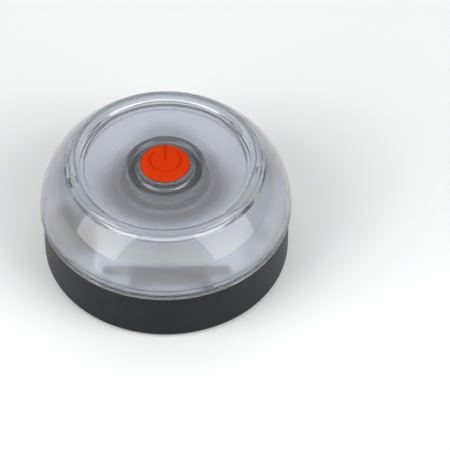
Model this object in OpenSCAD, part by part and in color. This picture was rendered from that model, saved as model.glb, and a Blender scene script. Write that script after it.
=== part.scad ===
// Magnetic LED road flare: a round warning beacon that runs on one flat 9 V battery.
// Stands on its feet at z = 0, centred on the Z axis; the battery lies in the -Y half.

/* [Housing] */
// Height of the base from its flat bottom to its rim
base_h = 22.6; // [22.2:0.2:24]
// Outside radius of the base at its rim
base_r = 47.3; // [47.2:0.1:47.6]
// Thickness of the base wall
wall_t = 2.4; // [2.2:0.1:2.5]
// Thickness of the base floor
floor_t = 2; // [1.8:0.1:2.2]
// Radius of the base's bottom edge
edge_r = 2; // [1:0.5:2]
// How far the rubber feet stand out of the base
foot_out = 0.6; // [0.4:0.1:1]
// Radius of one rubber foot
foot_r = 4.5; // [3.5:0.5:4.5]

/* [Lens] */
// Radius of the flange that rests on the base
flange_r = 48; // [47.8:0.1:48.4]
// Height of the flange
flange_h = 1.7; // [1.4:0.1:1.8]
// Radius of the rounded shoulder, seen in section
shoulder_r = 29.5; // [29.4:0.1:29.8]
// Height of the rolled rim above the base
dome_h = 24.05; // [24:0.05:24.3]
// Radius of the rolled rim's crest
crest_r = 35; // [34.8:0.1:35.2]
// Radius of the level dish inside the rim
dish_r = 30.9; // [30:0.3:31.2]
// Wall thickness of the lens
lens_t = 2.2; // [2:0.1:2.3]

/* [Button] */
// Radius of the button
button_r = 9.3; // [9:0.1:9.3]
// How far the button travels
button_travel = 0.6; // [0.4:0.1:0.6]
// How far the button stands above the base's rim
button_up = 23.9; // [23.7:0.1:24]
// Depth of the power sign in the button
sign_depth = 0.35; // [0.2:0.05:0.5]

/* [Light] */
// Radius of the round circuit board
board_r = 35.5; // [34.5:0.5:36]
// Thickness of the circuit board
board_t = 1.6; // [1.2:0.2:1.6]
// Number of LEDs in the ring
led_count = 12; // [8:1:16]
// Radius of the ring of LEDs
led_ring = 25; // [22:1:26]

/* [Battery and magnets] */
// Length of the battery with its terminals
batt_l = 48.5; // [48:0.5:48.5]
// Thickness of the battery
batt_w = 17.5; // [17:0.5:17.5]
// Width of the battery, which stands upright here
batt_h = 26.5; // [26:0.5:26.5]
// Distance from the axis to the battery's outer face
batt_front = 34.3; // [34:0.1:34.4]
// Radius of one magnet
magnet_r = 9; // [7:0.5:9.5]
// Thickness of one magnet
magnet_t = 4; // [3:0.5:4.5]

/* [Hidden] */
$fn = 72;

fit_gap = 0.3;                    // between a part and the opening that it goes into
past = 9;                         // how far a cut reaches past what it cuts

// Levels, counted up from the table
floor_z = foot_out + floor_t;
rim_z = foot_out + base_h;
crest_z = rim_z + dome_h;
dish_z = crest_z - 1.6;
under_z = dish_z - 1.85;          // underside of the dish
well_z = under_z - 1.9;           // underside of the lens round the button
door_t = 1.8;
door_top = foot_out + door_t;
pad_t = 0.6;
batt_z = door_top + pad_t;
frame_t = 1.6;                    // plate of the inner frame
plate_z = rim_z - frame_t;
frame_roof = batt_z + batt_h + 0.2;
board_z = frame_roof + 1;         // the roof over the battery is 1 mm thick
board_top = board_z + board_t;

// Radii
inner_r = base_r - wall_t;
bottom_r = base_r - 0.2;          // the mould's draft
spigot_r = inner_r - 0.1;
spigot_in = spigot_r - 1.4;
bore_r = button_r + 0.1;
collar_r = bore_r + 1.5;
groove_r = 2.05;
groove_ring = collar_r + groove_r;
shoulder_in = flange_r + 0.2 - shoulder_r;
shoulder_up = 0.8;
rim_round = 2.6;

// Battery bay
batt_x = 0.7;                     // the terminals take room at the left end
stud_h = 2.9;
batt_y0 = -batt_front;
batt_y1 = batt_y0 + batt_w;
batt_x0 = batt_x - batt_l / 2;
batt_x1 = batt_x + batt_l / 2;
stud_y = (batt_y0 + batt_y1) / 2;
stud_gap = 12.7;
stud_z = [batt_z + batt_h / 2 - stud_gap / 2, batt_z + batt_h / 2 + stud_gap / 2];
bay_x0 = batt_x0 - 0.9;
bay_x1 = batt_x1 + 0.3;
bay_y0 = batt_y0 - 0.3;
bay_y1 = batt_y1 + 0.3;
bay_wall = 1.2;
door_lap = 1.5;                   // how far the door reaches past the bay
door_x0 = bay_x0 - door_lap;
door_x1 = bay_x1 + door_lap;
door_y0 = bay_y0 - door_lap;
door_corner = inner_r - 0.6;      // the door's outer corners follow the round base
seal_up = 0.4;
hinge_y = bay_y1 + 3;
hinge_z = foot_out + 1.5;
hinge_roof = hinge_z + 2.8;
barrel_r = 1.5;                   // rolled edge of the door, round the hinge pins
ear_r = 1.35;
ear_l = 2;
pin_r = 0.7;
pin_l = 10.4;
pin_x = [-17, 18];                // middles of the two hinge pins
ear_x = [for (x = pin_x, side = [-1, 1]) x + side * (pin_l - ear_l) / 2];

// Leads from the battery contacts
lead_r = 0.75;
lead_x = bay_x0 - bay_wall - 1.1;
lead_y = [-21.5, -18];            // where the red and the black lead reach the board

// Button: cap and carrier, then the switch under them
button_top = rim_z + button_up;
cap_t = 1.5;
cap_low = button_top - cap_t;
spindle_r = 2.5;                  // middle of the carrier, which goes up into the cap
neck_r = 7;                       // the rubber boot holds the carrier here
flange_top = well_z - fit_gap;
flange_low = well_z - 2;
neck_low = flange_low - 2.6;
boot_t = 0.7;
boot_r = bore_r + 1.2;
switch_h = 2.5;
stem_top = board_top + switch_h + 0.2 + button_travel;

// Places round the axis
foot_ring = 39;
foot_angles = [33, 147, 213, 327];
frame_ring = 38;
frame_angles = [-24, 24, 165];
post_r = 2.8;
stand_ring = 31;
stand_angles = [20, 70, 110, 160];
peg_ring = 37;
peg_angle = -36;

// Radio block
radio_ring = 38.75;
radio_angle = 207;
radio_t = 5.5;
radio_w = 16;
radio_h = 11;

// Magnets and the plate that holds them down
magnet_x = 15;
magnet_y = 15;
magnet_z = floor_z - 1.2;
keeper_x = 27;
keeper_z = magnet_z + magnet_t;
keeper_t = 1.2;

// Points of an arc of radius r round [x, y]
function arc(x, y, r, a0, a1, n = 8) =
  [for (i = [0:n]) let (a = a0 + (a1 - a0) * i / n) [x + r * cos(a), y + r * sin(a)]];

// Puts its children at a distance from the axis, turned to face outwards
module at_ring(d, a) rotate(a) translate([d, 0, 0]) children();

module box(x0, x1, y0, y1, z0, z1) translate([x0, y0, z0]) cube([x1 - x0, y1 - y0, z1 - z0]);

// Cross-head screw, head up, with its head resting at z = 0
module screw(r, l, head_r, head_h) difference() {
  union() {
    translate([0, 0, -l]) cylinder(r = r, h = l);
    cylinder(r1 = head_r, r2 = head_r * 0.75, h = head_h);
  }
  for (a = [0, 90]) rotate(a) box(-head_r * 0.55, head_r * 0.55, -0.25, 0.25, head_h * 0.35, head_h + 1);
}

module base_section() difference() {
  polygon(concat([[0, foot_out]],
    arc(bottom_r - edge_r, foot_out + edge_r, edge_r, -90, 0),
    [[base_r, rim_z - 0.3], [base_r - 0.3, rim_z], [inner_r, rim_z], [inner_r, floor_z], [0, floor_z]]));
  // seal groove in the rim, and the groove that the lens snaps into
  translate([inner_r + 0.6, rim_z - 0.9]) square([1, 2]);
  translate([inner_r - 1, rim_z - 2.3]) square([1.3, 0.6]);
}

// Ears that hold the hinge pins, hanging from the trough's roof
module hinge_ears() for (x = ear_x) translate([x, hinge_y, hinge_z]) {
  rotate([0, 90, 0]) cylinder(r = ear_r, h = ear_l, center = true);
  box(-ear_l / 2, ear_l / 2, -ear_r, ear_r, 0, barrel_r + fit_gap + 0.3);
}

// Trough for the door's rolled edge, open below so that the door can swing past a right angle
module hinge_trough() translate([0, hinge_y, hinge_z]) {
  translate([door_x0 - fit_gap, 0, 0]) rotate([0, 90, 0])
    cylinder(r = barrel_r + fit_gap, h = door_x1 - door_x0 + 2 * fit_gap);
  box(door_x0 - fit_gap, door_x1 + fit_gap, -3, 1.95, -9, 0);
}

// Outline of the door, grown by a gap, between two levels
module door_plate(gap, y1, z0, z1) intersection() {
  box(door_x0 - gap, door_x1 + gap, door_y0 - gap, y1, z0, z1);
  cylinder(r = door_corner + gap, h = 30, $fn = 144, center = true);
}

module base_housing() color("#34363a") difference() {
  union() {
    difference() {
      union() {
        rotate_extrude($fn = 144) base_section();
        // frame over the door's edge, which its seal presses against, and the roof over its hinge
        intersection() {
          union() {
            box(door_x0 - 1, door_x1 + 1, door_y0 - 1, bay_y1 + door_lap, floor_z - 0.5, batt_z + 1);
            box(door_x0 - 1, door_x1 + 1, bay_y1 + 0.5, hinge_y + 3, floor_z - 0.5, hinge_roof);
          }
          cylinder(r = inner_r + 0.5, h = 30, $fn = 144);
        }
      }
      door_plate(0.3, hinge_y - 1, -1, door_top + seal_up);
      hinge_trough();
    }
    hinge_ears();
    for (a = frame_angles) at_ring(frame_ring, a) {
      translate([0, 0, floor_z - 0.5]) cylinder(r = post_r, h = plate_z - floor_z + 0.5);
      box(post_r - 0.5, inner_r - frame_ring + 0.5, -0.8, 0.8, floor_z - 0.5, rim_z - 4);
    }
    // locating peg for the inner frame
    at_ring(peg_ring, peg_angle) translate([0, 0, floor_z - 0.5]) {
      cylinder(r = 2, h = plate_z - floor_z + 0.5);
      cylinder(r = 1.2, h = rim_z - floor_z + 1.3);
    }
    for (s = [-1, 1]) {
      translate([s * magnet_x, magnet_y, magnet_z]) cylinder(r = magnet_r + 1.4, h = magnet_t);
      translate([s * keeper_x, magnet_y, magnet_z]) cylinder(r = 2.2, h = magnet_t);
    }
  }
  for (s = [-1, 1]) {
    translate([s * magnet_x, magnet_y, magnet_z]) cylinder(r = magnet_r + 0.1, h = 2 * past);
    translate([s * keeper_x, magnet_y, floor_z]) cylinder(r = 0.9, h = 2 * past);
  }
  for (a = frame_angles) at_ring(frame_ring, a) translate([0, 0, rim_z - 12]) cylinder(r = 1.1, h = 20);
  for (a = foot_angles) at_ring(foot_ring, a) translate([0, 0, -1])
    cylinder(r = foot_r + 0.1, h = 1.8 + foot_out);
  box(bay_x0, bay_x1, bay_y0, bay_y1, -1, 9);
  for (x = pin_x) translate([x, hinge_y, hinge_z]) rotate([0, 90, 0])
    cylinder(r = pin_r, h = pin_l, center = true);
  // thumb notch at the door's free edge
  translate([batt_x, door_y0 - 0.3, foot_out - 2.6]) sphere(r = 4);
}

module housing_seal() color("#3b332e") rotate_extrude($fn = 144)
  translate([inner_r + 0.65, rim_z - 0.9]) polygon([[0, 0.1], [0.1, 0], [0.8, 0], [0.9, 0.1],
    [0.9, 0.7], [0.65, 0.9], [0.25, 0.9], [0, 0.7]]);

module rim_circle() translate([crest_r, crest_z - rim_round]) circle(r = rim_round, $fn = 96);

// Hollow of the lens in section
module lens_hollow() {
  lip = 1.2;
  translate([0, rim_z - 5]) square([spigot_in, 5 + lip]);
  polygon([[0, rim_z + lip], [spigot_in, rim_z + lip], [spigot_in + 2.1, rim_z + lip + 2.2],
    [0, rim_z + lip + 2.2]]);
  difference() {
    intersection() {
      translate([shoulder_in, rim_z + shoulder_up]) circle(r = shoulder_r - lens_t, $fn = 180);
      translate([0, rim_z + lip + 2.1]) square([60, under_z - rim_z - lip - 2.1]);
    }
    translate([0, well_z]) square([groove_ring + groove_r - 0.1, 9]);
  }
}

module lens_section() difference() {
  union() {
    difference() {
      union() {
        translate([0, rim_z]) square([flange_r, flange_h]);
        translate([0, rim_z]) square([flange_r - 0.5, flange_h + 0.7]);
        intersection() {
          translate([shoulder_in, rim_z + shoulder_up]) circle(r = shoulder_r, $fn = 180);
          translate([0, rim_z + flange_h + 0.6]) square([60, dome_h - 0.7 - flange_h - 0.6]);
        }
        rim_circle();
        translate([0, rim_z - 3]) square([spigot_r, 3.5]);
        translate([spigot_r - 0.1, rim_z - 2.2]) square([0.3, 0.4]);
      }
      difference() {
        translate([0, dish_z + 0.3]) square([crest_r, 9]);
        rim_circle();
      }
      translate([0, dish_z]) square([dish_r, 9]);
      translate([groove_ring, dish_z]) circle(r = groove_r, $fn = 64);
    }
    // collar round the button
    polygon(concat([[bore_r, well_z], [collar_r, well_z]],
      arc(collar_r - 0.3, dish_z + 0.5, 0.3, 0, 90, 4),
      arc(bore_r + 0.2, dish_z + 0.6, 0.2, 90, 180, 4)));
  }
  lens_hollow();
  translate([-1, 0]) square([bore_r + 1, 99]);
}

module lens_dome() color("#c4cad6", 0.35) rotate_extrude($fn = 144) lens_section();

// Trumpet that throws the LEDs' light out sideways
module reflector() color("#b9bcc4") {
  mouth = 33;
  low = board_top + 0.3;
  reach = mouth - 11.5;
  rise = under_z - low;
  skin = 1;
  rotate_extrude($fn = 144) polygon(concat(
    [for (t = [0:5:90]) [mouth - reach * cos(t), low + rise * sin(t)]],
    [for (t = [90:-5:0]) [mouth - (reach - skin) * cos(t), low + (rise - skin) * sin(t)]]));
}

// Power sign: a ring open at the back, with a bar in the opening
module power_sign() {
  sign_r = 5.9;
  gap = 52;
  stroke = 0.45;
  translate([0, 1.4, 0]) {
    rotate([0, 0, 90 + gap]) rotate_extrude(angle = 360 - 2 * gap)
      translate([sign_r - stroke, 0]) square([2 * stroke, 5]);
    for (s = [-1, 1]) rotate(90 + s * gap) translate([sign_r, 0, 0]) cylinder(r = stroke, h = 5);
    for (y = [0, 6.6]) translate([0, y, 0]) cylinder(r = stroke, h = 5);
    box(-stroke, stroke, 0, 6.6, 0, 5);
  }
}

module button_cap() color("#e03c00") difference() {
  rotate_extrude() polygon(concat([[0, cap_low], [button_r, cap_low]],
    arc(button_r - 0.5, button_top - 0.5, 0.5, 0, 90, 6), [[0, button_top]]));
  translate([0, 0, button_top - sign_depth]) power_sign();
  // socket for the carrier's spindle
  translate([0, 0, cap_low - 1]) cylinder(r = spindle_r, h = 1.6);
}

// Carrier that the cap snaps onto: skirt, retaining flange, neck and the plunger to the switch
module button_carrier() color("#4a4c52") {
  rotate_extrude() polygon([[0, neck_low], [neck_r, neck_low], [neck_r, flange_low],
    [bore_r + 0.8, flange_low], [bore_r + 0.8, flange_top], [button_r, flange_top],
    [button_r, cap_low], [spindle_r, cap_low], [spindle_r, cap_low + 0.6], [0, cap_low + 0.6]]);
  translate([0, 0, neck_low - 1]) cylinder(r = 3.6, h = 1.2);
  translate([0, 0, stem_top + 0.05]) cylinder(r = 1.8, h = neck_low - stem_top);
}

// Rubber cup that seals the button from below; its inner lip rides on the carrier's neck
module button_boot() color("#2e2f33") rotate_extrude() polygon([
  [boot_r, well_z], [groove_ring + 1.2, well_z], [groove_ring + 1.2, well_z - 0.8],
  [boot_r + boot_t, well_z - 0.8], [boot_r + boot_t, flange_low - 2], [neck_r + 0.9, flange_low - 2],
  [neck_r + 0.9, neck_low], [neck_r, neck_low], [neck_r, flange_low - 0.9],
  [neck_r + 0.9, flange_low - 0.9], [neck_r + 0.9, flange_low - 1.4], [boot_r, flange_low - 1.4]]);

module switch_body() color("#1d1d1f") difference() {
  box(-3.1, 3.1, -3.1, 3.1, board_top, board_top + switch_h);
  translate([0, 0, board_top + 0.6]) cylinder(r = 1.85, h = 9);
}

module switch_stem() color("#c9c9c4") translate([0, 0, board_top + 1.3])
  cylinder(r = 1.75, h = stem_top - board_top - 1.3);

module led_board() color("#f1f2ef") difference() {
  translate([0, 0, board_z]) cylinder(r = board_r, h = board_t, $fn = 144);
  for (a = stand_angles) at_ring(stand_ring, a) translate([0, 0, board_z - 1]) cylinder(r = 1.2, h = 9);
  for (y = lead_y) translate([lead_x, y, board_z - 1]) cylinder(r = 0.6, h = 9);
}

module led_bodies() color("#efe9c8") for (i = [0:led_count - 1])
  at_ring(led_ring, 360 * (i + 0.5) / led_count) box(-1.4, 1.4, -1.75, 1.75, board_top, board_top + 1);

module led_lenses() color("#f4f0e2", 0.7) for (i = [0:led_count - 1])
  at_ring(led_ring, 360 * (i + 0.5) / led_count) translate([0, 0, board_top + 1]) intersection() {
    translate([0, 0, -0.6]) sphere(r = 1.5, $fn = 32);
    cylinder(r = 3, h = 3);
  }

module control_chip() color("#222326") box(-19, -12, 6, 13, board_top, board_top + 1);

module driver_chips() color("#222326") for (x = [13, 17.8])
  box(x, x + 3.8, 5, 10, board_top, board_top + 1.5);

module chip_resistors() color("#3a3733") for (i = [0:7]) at_ring(16, 180 + 15 * i)
  box(-0.6, 0.6, -1, 1, board_top, board_top + 0.6);

module inductor() color("#26262a") translate([13, -13, board_top]) {
  cylinder(r = 3.6, h = 1, $fn = 48);
  translate([0, 0, 1]) cylinder(r = 2.9, h = 2, $fn = 48);
  translate([0, 0, 3]) cylinder(r = 3.6, h = 0.8, $fn = 48);
}

module capacitors() color("#b8bcc2") for (x = [-5, 5]) translate([x, 31, board_top])
  cylinder(r = 3.1, h = 7);

module pin_header() color("#caa64a") for (i = [-2:2]) translate([1.8 + 3.1 * i, -31.2, board_top])
  cylinder(r = 0.5, h = 1.2, $fn = 24);

module board_screws() color("#8d9096") for (a = stand_angles) at_ring(stand_ring, a)
  translate([0, 0, board_top]) screw(0.95, 6, 2, 1.3);

// White moulding that holds the battery upright and carries the circuit board
module inner_frame() color("#f0f1f3") difference() {
  union() {
    translate([0, 0, plate_z]) cylinder(r = spigot_in - 0.2, h = frame_t, $fn = 144);
    intersection() {
      box(bay_x0 - bay_wall, bay_x1 + bay_wall, bay_y0 - bay_wall, bay_y1 + bay_wall,
        hinge_roof + 0.2, board_z);
      cylinder(r = spigot_in - 0.2, h = 99, $fn = 144);
    }
    for (a = stand_angles) at_ring(stand_ring, a) translate([0, 0, plate_z]) {
      cylinder(r = 2.4, h = board_z - plate_z);
      box(-6, 0, -0.6, 0.6, 0, board_z - plate_z - 2);
    }
    // small tab in front of the window
    box(6.6, 14.6, bay_y0 - bay_wall - 2, bay_y0 - bay_wall + 0.5, plate_z, rim_z + 2.2);
  }
  intersection() {
    box(bay_x0, bay_x1, bay_y0, bay_y1, 0, frame_roof);
    cylinder(r = spigot_in - 0.7, h = 99, $fn = 144);
  }
  // window in the outer wall, with a lower step, and the gap in the plate before it
  box(-22.5, 24.2, bay_y0 - 9, bay_y0 + 1, rim_z + 0.01, frame_roof - 0.2);
  box(-13, 17.3, bay_y0 - 6, bay_y0 + 1, plate_z - 4, rim_z + 0.02);
  for (a = frame_angles) at_ring(frame_ring, a) translate([0, 0, plate_z - 1]) cylinder(r = 1.3, h = 9);
  at_ring(peg_ring, peg_angle) translate([0, 0, plate_z - 1]) cylinder(r = 1.3, h = past);
  for (a = stand_angles) at_ring(stand_ring, a) translate([0, 0, board_z - 6]) cylinder(r = 0.95, h = 9);
  box(lead_x - 1.2, lead_x + 1.1, stud_y - 2, lead_y[1] + 1.2, plate_z - 1, rim_z + 0.5);
  // slots for the battery contacts' tails
  for (z = stud_z) box(bay_x0 - 9, bay_x0 + 1, stud_y - 1.5, stud_y + 1.5, z - 0.3, z + 0.3);
}

module frame_screws() color("#26272b") for (a = frame_angles) at_ring(frame_ring, a)
  translate([0, 0, rim_z]) screw(1.1, 10, 2.3, 1.6);

// Tall block in the gap between the board and the dome
module antenna_block() color("#b9b0a0") at_ring(radio_ring, radio_angle) difference() {
  box(-radio_t / 2, radio_t / 2, -radio_w / 2, radio_w / 2, rim_z, rim_z + radio_h);
  box(-radio_t / 2 + 0.8, radio_t / 2 - 0.8, -radio_w / 2 + 0.8, radio_w / 2 - 0.8,
    rim_z + radio_h - 0.4, rim_z + radio_h + 1);
}

module battery() color("#8d8a86") {
  box(batt_x0 + stud_h, batt_x1, batt_y0, batt_y1, batt_z, batt_z + batt_h);
}

// One smooth stud and one six-sided socket
module battery_terminals() color("#d2cfc6") {
  translate([batt_x0, stud_y, stud_z[0]]) rotate([0, 90, 0]) cylinder(r = 2.9, h = stud_h);
  translate([batt_x0, stud_y, stud_z[1]]) rotate([0, 90, 0]) difference() {
    cylinder(r = 4.3, h = stud_h, $fn = 6);
    translate([0, 0, -1]) cylinder(r = 2.9, h = stud_h - 0.5);
  }
}

module battery_contacts() color("#c9b37a") for (z = stud_z) {
  box(bay_x0, bay_x0 + 0.4, stud_y - 3.5, stud_y + 3.5, z - 4, z + 4);
  box(bay_x0 + 0.4, batt_x0, stud_y - 2.5, stud_y + 2.5, z - 2.5, z + 2.5);
  box(lead_x - 0.4, bay_x0 + 0.1, stud_y - 1.4, stud_y + 1.4, z - 0.25, z + 0.25);
}

// Insulated lead from a contact's tail, along the bay's wall and up through the board
module lead(y, z) {
  rise_z = z - lead_r - 0.25;
  translate([lead_x, stud_y, rise_z]) rotate([-90, 0, 0]) cylinder(r = lead_r, h = y - stud_y, $fn = 24);
  translate([lead_x, y, rise_z]) sphere(r = lead_r, $fn = 24);
  translate([lead_x, y, rise_z]) cylinder(r = lead_r, h = board_z - rise_z, $fn = 24);
  translate([lead_x, y, board_z]) cylinder(r = 0.5, h = board_t + 0.3, $fn = 24);
  translate([lead_x, y, board_top]) cylinder(r1 = 1.1, r2 = 0.5, h = 0.6, $fn = 24);
}

module lead_red() color("#b3231d") lead(lead_y[0], stud_z[1]);

module lead_black() color("#1b1b1d") lead(lead_y[1], stud_z[0]);

module battery_pad() color("#5b5d60")
  box(batt_x - 20, batt_x + 20, batt_y0 + 2, batt_y1 - 2, door_top, batt_z);

// Ring between two outlines of the bay, for the seal and its groove
module seal_ring(z0, z1) difference() {
  intersection() {
    box(bay_x0 - 1.1, bay_x1 + 1.1, bay_y0 - 1.1, bay_y1 + 1.1, z0, z1);
    cylinder(r = door_corner - 0.4, h = 30, $fn = 144);
  }
  intersection() {
    box(bay_x0 - 0.2, bay_x1 + 0.2, bay_y0 - 0.2, bay_y1 + 0.2, z0 - 1, z1 + 1);
    cylinder(r = door_corner - 1.2, h = 30, $fn = 144);
  }
}

// Door whose rolled edge turns on the two hinge pins, with a gap for each ear
module battery_door() color("#303236") difference() {
  union() {
    door_plate(0, hinge_y, foot_out, door_top);
    translate([door_x0, hinge_y, hinge_z]) rotate([0, 90, 0])
      cylinder(r = barrel_r, h = door_x1 - door_x0);
  }
  for (x = ear_x)
    box(x - ear_l / 2 - 0.2, x + ear_l / 2 + 0.2, hinge_y - barrel_r - 0.6, hinge_y + past, -1, past);
  for (x = pin_x) translate([x, hinge_y, hinge_z]) rotate([0, 90, 0])
    cylinder(r = pin_r + 0.06, h = pin_l, center = true);
  seal_ring(door_top - 0.6, door_top + 1);
  // grip ribs along the free edge
  for (i = [0:4]) box(batt_x - 6, batt_x + 6, door_y0 + 2.4 + 1.2 * i, door_y0 + 3 + 1.2 * i,
    foot_out - 1, foot_out + 0.3);
}

module door_seal() color("#222326") seal_ring(door_top - 0.6, door_top + seal_up);

module hinge_pin() color("#aeb1b6") for (x = pin_x) translate([x, hinge_y, hinge_z])
  rotate([0, 90, 0]) cylinder(r = pin_r, h = pin_l, center = true);

module magnets() color("#9a9da3") for (s = [-1, 1])
  translate([s * magnet_x, magnet_y, magnet_z]) cylinder(r = magnet_r, h = magnet_t);

// Steel plate that backs the magnets and holds them down
module magnet_keeper() color("#7d8086") difference() {
  union() for (s = [-1, 1]) {
    translate([s * magnet_x, magnet_y, keeper_z]) cylinder(r = magnet_r, h = keeper_t);
    translate([s * keeper_x, magnet_y, keeper_z]) cylinder(r = 3, h = keeper_t);
    box(-keeper_x, keeper_x, magnet_y - 3, magnet_y + 3, keeper_z, keeper_z + keeper_t);
  }
  for (s = [-1, 1]) translate([s * keeper_x, magnet_y, keeper_z - 1]) cylinder(r = 1, h = 9);
}

module keeper_screws() color("#8d9096") for (s = [-1, 1])
  translate([s * keeper_x, magnet_y, keeper_z + keeper_t]) screw(0.9, 4, 1.9, 1.2);

module rubber_feet() color("#1c1c1e") for (a = foot_angles) at_ring(foot_ring, a) {
  cylinder(r1 = foot_r - 0.4, r2 = foot_r, h = 0.4);
  translate([0, 0, 0.4]) cylinder(r = foot_r, h = 0.4 + foot_out);
}

base_housing();
housing_seal();
lens_dome();
reflector();
button_cap();
button_carrier();
button_boot();
switch_body();
switch_stem();
led_board();
led_bodies();
led_lenses();
control_chip();
driver_chips();
chip_resistors();
inductor();
capacitors();
pin_header();
board_screws();
inner_frame();
frame_screws();
antenna_block();
battery();
battery_terminals();
battery_contacts();
lead_red();
lead_black();
battery_pad();
battery_door();
door_seal();
hinge_pin();
magnets();
magnet_keeper();
keeper_screws();
rubber_feet();
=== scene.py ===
import math
import bmesh
import bpy
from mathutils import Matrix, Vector


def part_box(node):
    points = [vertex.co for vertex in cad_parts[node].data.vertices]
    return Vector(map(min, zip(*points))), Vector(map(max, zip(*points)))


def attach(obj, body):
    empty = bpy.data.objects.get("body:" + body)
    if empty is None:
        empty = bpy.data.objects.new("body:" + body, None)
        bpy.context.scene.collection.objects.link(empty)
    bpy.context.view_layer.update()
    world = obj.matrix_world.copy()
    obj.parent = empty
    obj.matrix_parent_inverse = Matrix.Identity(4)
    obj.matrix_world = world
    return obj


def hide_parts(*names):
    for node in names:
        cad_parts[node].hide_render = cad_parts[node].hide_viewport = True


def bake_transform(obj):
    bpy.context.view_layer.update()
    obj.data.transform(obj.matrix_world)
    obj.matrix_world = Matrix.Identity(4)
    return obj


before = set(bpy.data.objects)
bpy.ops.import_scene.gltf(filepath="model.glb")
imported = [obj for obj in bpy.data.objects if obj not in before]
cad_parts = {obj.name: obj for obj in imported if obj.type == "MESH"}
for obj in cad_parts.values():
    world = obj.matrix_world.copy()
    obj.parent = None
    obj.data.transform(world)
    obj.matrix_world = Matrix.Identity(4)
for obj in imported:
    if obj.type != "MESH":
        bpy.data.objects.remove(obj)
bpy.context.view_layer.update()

mm = 0.001  # sizes are in metres

# ---- Base housing ----
# The cup that everything is built into: dark grey ABS, injection moulded, with a fine spark-eroded
# grain outside and a slight sheen. Posts, hinge ears and magnet cups are moulded with it.

# Sets a node's inputs, from plain values or from other nodes' outputs
def feed(tree, node, inputs):
    for label, value in inputs.items():
        if isinstance(value, bpy.types.NodeSocket):
            tree.links.new(value, node.inputs[label])
        else:
            node.inputs[label].default_value = value
    return node


def add(tree, kind, inputs=None, **settings):
    node = tree.nodes.new(kind)
    for key, value in settings.items():
        setattr(node, key, value)
    return feed(tree, node, inputs or {})


def new_material(name):
    material = bpy.data.materials.new(name)
    material.use_nodes = True
    tree = material.node_tree
    return material, tree, tree.nodes["Principled BSDF"]


# Gives CAD nodes their finish
def dress(material, *nodes):
    for name in nodes:
        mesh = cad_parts[name].data
        mesh.materials.clear()
        mesh.materials.append(material)


# Opens a named input or output on a node group
def open_socket(tree, in_out, label, kind):
    return tree.interface.new_socket(label, in_out=in_out, socket_type="NodeSocket" + kind)


class Group:
    """A shader node group under construction, with named inputs and outputs."""

    def __init__(self, name, inputs, outputs):
        self.tree = bpy.data.node_groups.new(name, "ShaderNodeTree")
        for label, kind, value in inputs:
            open_socket(self.tree, "INPUT", label, kind).default_value = value
        for label, kind in outputs:
            open_socket(self.tree, "OUTPUT", label, kind)
        self.given = self.tree.nodes.new("NodeGroupInput").outputs
        self.result = self.tree.nodes.new("NodeGroupOutput")
        self.place = self.tree.nodes.new("ShaderNodeTexCoord").outputs["Object"]

    def node(self, kind, inputs, **settings):
        return add(self.tree, "ShaderNode" + kind, inputs, **settings)

    def maths(self, operation, *values):
        return self.node("Math", dict(enumerate(values)), operation=operation).outputs[0]

    def noise(self, scale, detail, place=None):
        return self.node("TexNoise", {"Vector": place or self.place, "Scale": scale,
                                      "Detail": detail}).outputs["Fac"]

    def spread(self, value, low, high, start=0.0, stop=1.0):
        return self.node("MapRange", {"Value": value, "From Min": start, "From Max": stop,
                                      "To Min": low, "To Max": high}).outputs["Result"]

    def bump(self, height, strength, distance):
        return self.node("Bump", {"Height": height, "Strength": strength,
                                  "Distance": distance}).outputs["Normal"]

    def tint(self, colour, amount):
        return self.node("VectorMath", {0: colour, "Scale": amount}, operation="SCALE").outputs[0]

    def blend(self, amount, first, second):
        return self.node("Mix", {0: amount, 6: first, 7: second}, data_type="RGBA").outputs[2]

    def finish(self, **outputs):
        feed(self.tree, self.result, outputs)
        return self.tree


# The grain of a moulded face, and the slow unevenness that its flow leaves
def build_moulded_face():
    group = Group("moulded_face",
                  [("Grain Size", "Float", 0.4 * mm), ("Grain Depth", "Float", 0.3),
                   ("Colour", "Color", (0.1, 0.1, 0.1, 1)), ("Roughness", "Float", 0.5)],
                  [("Colour", "Color"), ("Roughness", "Float"), ("Normal", "Vector")])
    flow_scale = 45.0
    grain_height = 0.04 * mm
    grain_scale = group.maths("DIVIDE", 1.0, group.given["Grain Size"])
    grain = group.noise(grain_scale, detail=3.0)
    uneven = group.spread(group.noise(flow_scale, detail=2.0), low=0.9, high=1.1)
    return group.finish(
        Colour=group.tint(group.given["Colour"], uneven),
        Roughness=group.maths("MULTIPLY", group.given["Roughness"], uneven),
        Normal=group.bump(grain, group.given["Grain Depth"], grain_height))


moulded_face = build_moulded_face()


# Fine dust in patches, with a few larger specks
def build_settled_dust():
    group = Group("settled_dust",
                  [("Colour", "Color", (0.1, 0.1, 0.1, 1)),
                   ("Dust", "Color", (0.4, 0.38, 0.35, 1)), ("Amount", "Float", 0.1)],
                  [("Colour", "Color"), ("Mask", "Float")])
    patch_scale, patch_weight = 110.0, 0.5
    speck_scale = 2600.0
    patches = group.spread(group.noise(patch_scale, detail=4.0), 0.0, 1.0, start=0.48, stop=0.72)
    specks = group.spread(group.noise(speck_scale, detail=1.0), 0.0, 1.0, start=0.66, stop=0.72)
    both = group.maths("ADD", group.maths("MULTIPLY", patches, patch_weight), specks)
    mask = group.maths("MULTIPLY", both, group.given["Amount"])
    return group.finish(Mask=mask,
                        Colour=group.blend(mask, group.given["Colour"], group.given["Dust"]))


settled_dust = build_settled_dust()


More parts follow.
